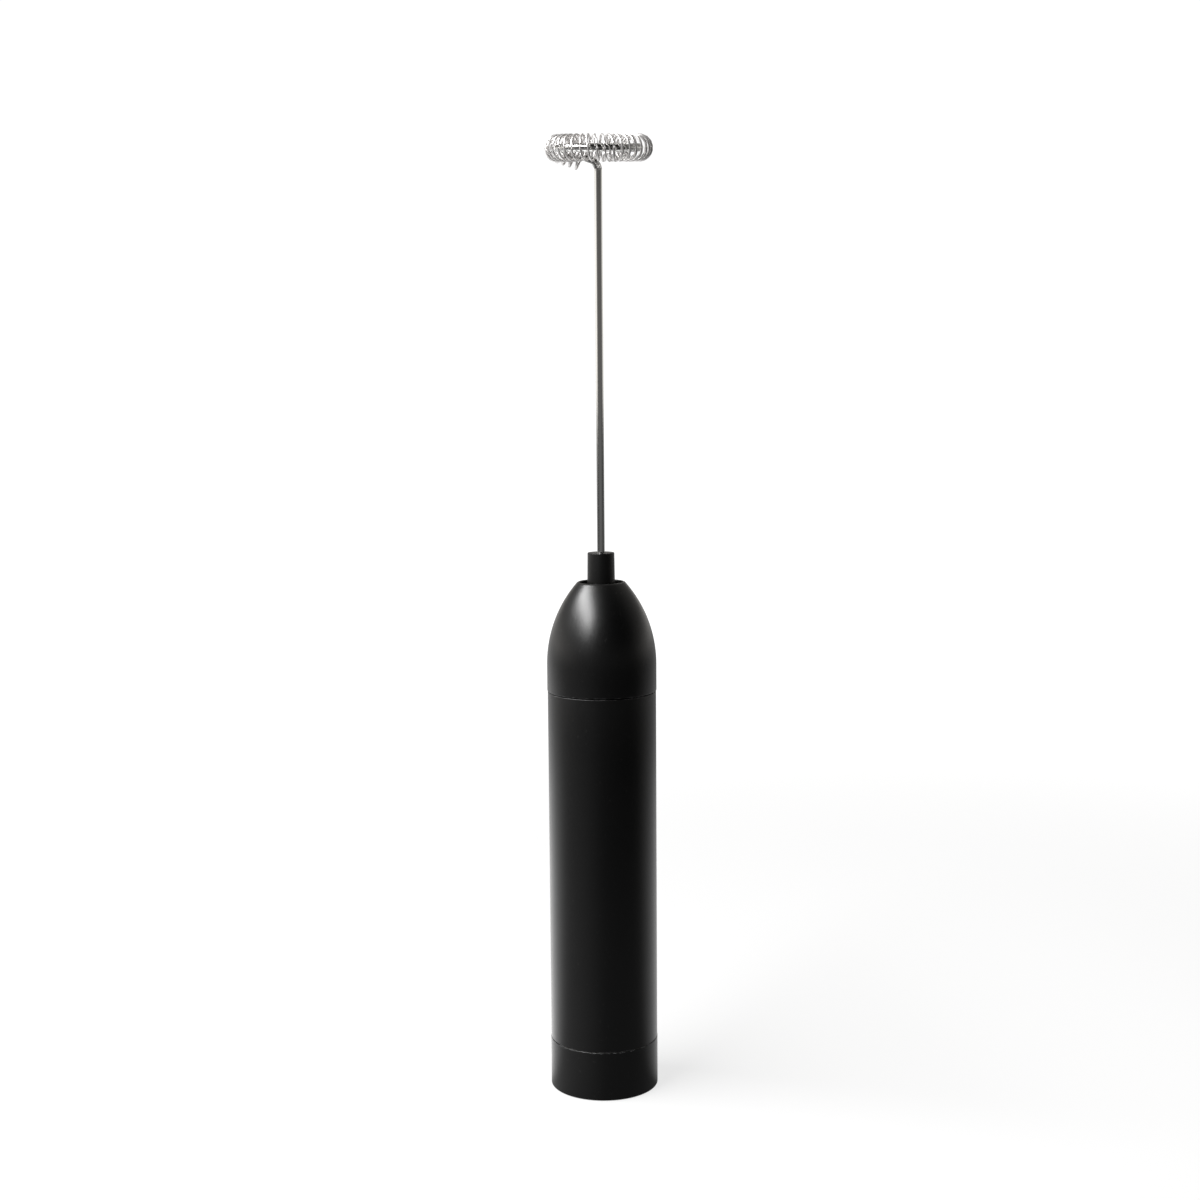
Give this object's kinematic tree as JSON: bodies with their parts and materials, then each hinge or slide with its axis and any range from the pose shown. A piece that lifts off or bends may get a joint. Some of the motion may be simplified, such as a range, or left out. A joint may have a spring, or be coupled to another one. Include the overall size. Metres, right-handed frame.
{
  "type": "milk frother",
  "caption": "Battery hand frother: slim round handle with an ogive nose, a screw-off tail cap with a push switch, and a spring whisk on a wire ring at the end of a long thin shaft.",
  "frame": {"origin": "centre of the tail cap's standing rim, in the plane it stands on", "axes": "+Z along the handle and the whisk shaft, towards the whisk; +X to the right and -Y towards the viewer, the switch side is below"},
  "size_m": [0.0282, 0.0282, 0.2466],
  "materials": {
    "satin_black": "satin black coating",
    "black_plastic": "moulded",
    "button_rubber": "matt",
    "seal_rubber": "smooth",
    "stainless_wire": "bright drawn wire",
    "spring_steel": "drawn",
    "contact_brass": "pressed",
    "circuit_board": "laminate",
    "cell_wrap": "plain sleeve",
    "motor_steel": "zinc plated",
    "ferrite": "ground",
    "lamination": "stamped",
    "copper": "enamelled wire",
    "white_nylon": "moulded",
    "bronze": "sintered",
    "carbon": "graphite",
    "lead_insulation": "insulation",
    "capacitor_ceramic": "dipped ceramic"
  },
  "bodies": {
    "handle": {"barrel_tube": "satin_black", "nose_cone": "satin_black", "nose_gasket": "seal_rubber", "battery_collar": "black_plastic", "cap_seal_ring": "seal_rubber", "contact_board": "circuit_board", "spring_pad": "contact_brass", "carrier_spring": "spring_steel", "lead_left": "lead_insulation", "lead_right": "lead_insulation", "motor_chassis": "black_plastic", "motor_screws": "spring_steel", "motor_can": "motor_steel", "field_magnets": "ferrite", "motor_end_bell": "white_nylon", "motor_terminals": "contact_brass", "carbon_brushes": "carbon", "rear_bush": "bronze", "front_bush": "bronze", "suppressor_capacitor": "capacitor_ceramic"},
    "whisk_drive": {"motor_shaft": "spring_steel", "armature_core": "lamination", "armature_windings": "copper", "commutator": "copper", "drive_coupling": "black_plastic", "whisk_shaft": "stainless_wire", "whisk_coil": "stainless_wire"},
    "battery_pack": {"battery_carrier": "black_plastic", "battery_cell_left": "cell_wrap", "battery_cell_right": "cell_wrap", "bridge_contact": "contact_brass", "tail_plate": "contact_brass", "negative_contact": "contact_brass", "return_strip": "contact_brass", "positive_contact": "contact_brass"},
    "tail_cap": {"tail_cap": "satin_black", "switch_body": "black_plastic", "switch_retainer": "black_plastic", "tail_contact": "contact_brass", "tail_spring": "spring_steel", "return_dome": "button_rubber"},
    "push_button": {"switch_button": "button_rubber"}
  },
  "joints": [
    {"name": "whisk_spin", "type": "hinge", "parent": "handle", "child": "whisk_drive", "pos_m": [0, 0, 0.12], "axis": [0, 0, 1], "continuous": true},
    {"name": "cap_travel", "type": "slide", "parent": "handle", "child": "battery_pack", "axis": [0, 0, -1], "range_m": [0, 0.008], "deforming": ["carrier_spring"]},
    {"name": "cap_unscrew", "type": "hinge", "parent": "battery_pack", "child": "tail_cap", "pos_m": [0, 0, 0.006], "axis": [0, 0, -1], "range_deg": [0, 1440.01]},
    {"name": "button_press", "type": "slide", "parent": "tail_cap", "child": "push_button", "axis": [0, 0, 1], "range_m": [0, 0.0012], "stiffness_N_per_m": 1500, "deforming": ["return_dome"]}
  ],
  "couplings": [
    {"joint": "cap_unscrew", "follows": "cap_travel", "rad_per_m": 3141.6}
  ]
}
